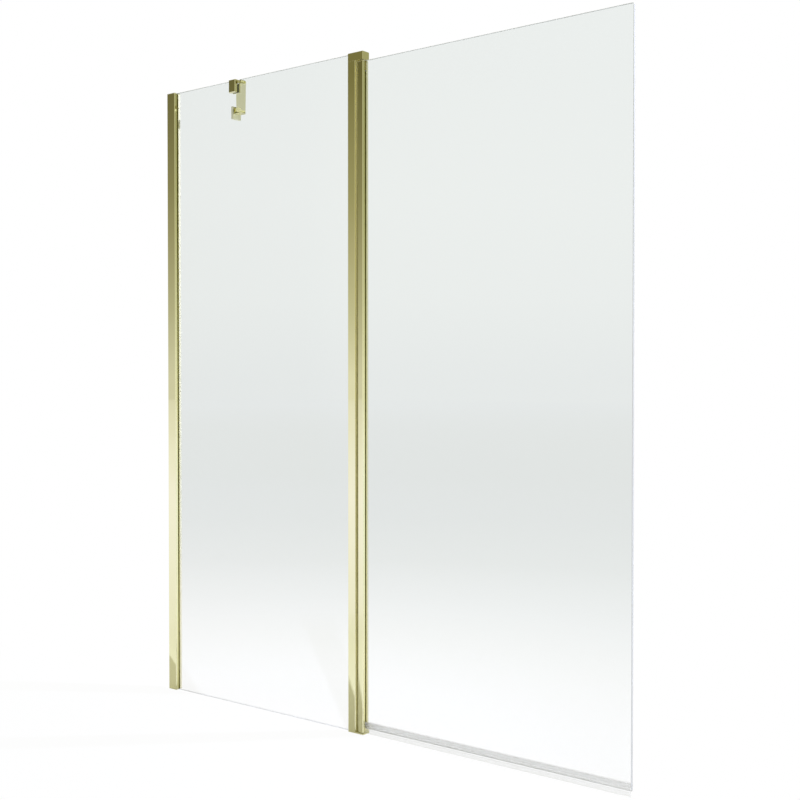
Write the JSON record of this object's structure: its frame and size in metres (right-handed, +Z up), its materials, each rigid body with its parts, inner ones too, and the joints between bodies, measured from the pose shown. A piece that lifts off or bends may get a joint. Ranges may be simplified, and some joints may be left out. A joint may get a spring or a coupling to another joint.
{
  "type": "bath screen",
  "caption": "Clear glass bath screen with a gold wall channel, a fixed pane braced to the wall by a swivelling arm, and a hinged pane with a bottom seal.",
  "frame": {"origin": "foot of the wall channel, on the wall plane, in the middle of the glass and on the bath rim", "axes": "+X along the screen away from the wall, +Y towards the inside of the bath, +Z up"},
  "size_m": [1.2, 0.2381, 1.4085],
  "materials": {
    "polished gold profile": "polished, gold finish",
    "polished gold fitting": "polished, gold finish",
    "clear glass": "clear, toughened, arrised edges",
    "clear seal": "clear flexible PVC",
    "bronze gasket": "soft strip, bronze tone",
    "black pad": "black rubber",
    "pale plastic": "moulded acetal, matt",
    "plain steel": "stainless steel"
  },
  "bodies": {
    "frame": {"wall_channel": "polished gold profile", "hinge_post": "polished gold profile", "glazing_carrier": "polished gold profile", "channel_top_cap": "polished gold fitting", "post_top_cap": "polished gold fitting", "adjuster_screw_covers": "polished gold fitting", "clamp_body": "polished gold fitting", "post_bottom_plate": "polished gold fitting", "fixed_glass": "clear glass", "hinge_seal": "bronze gasket", "wall_gasket_front": "bronze gasket", "wall_gasket_rear": "bronze gasket", "post_gasket_front": "bronze gasket", "post_gasket_rear": "bronze gasket", "clamp_pad_front": "black pad", "clamp_pad_rear": "black pad", "edge_packers": "pale plastic", "top_thrust_washer": "pale plastic", "bottom_thrust_washer": "pale plastic", "adjuster_screws": "plain steel", "top_cap_screws": "plain steel", "top_pivot_pin": "plain steel", "bottom_pivot_pin": "plain steel", "clamp_grub_screw": "plain steel"},
    "door": {"door_stile": "polished gold profile", "stile_top_plug": "polished gold fitting", "stile_bottom_plug": "polished gold fitting", "stile_packers": "pale plastic", "stile_gasket_front": "bronze gasket", "stile_gasket_rear": "bronze gasket", "moving_glass": "clear glass", "bottom_seal": "clear seal"},
    "arm": {"support_arm": "polished gold fitting", "arm_pin": "polished gold fitting"},
    "bracket": {"wall_bracket": "polished gold fitting", "bracket_cover": "polished gold fitting", "bracket_pin": "polished gold fitting"}
  },
  "joints": [
    {"name": "door_hinge", "type": "hinge", "parent": "frame", "child": "door", "pos_m": [0.5906, 0, 0.7], "axis": [0, 0, 1], "range_deg": [-90, 90]},
    {"name": "arm_swivel", "type": "hinge", "parent": "frame", "child": "arm", "pos_m": [0.2175, 0.01985, 1.398], "axis": [0, 0, 1], "range_deg": [-90, 0]},
    {"name": "bracket_swivel", "type": "hinge", "parent": "arm", "child": "bracket", "pos_m": [0.02, 0.21258, 1.398], "axis": [0, 0, 1], "range_deg": [-135, 45]}
  ]
}
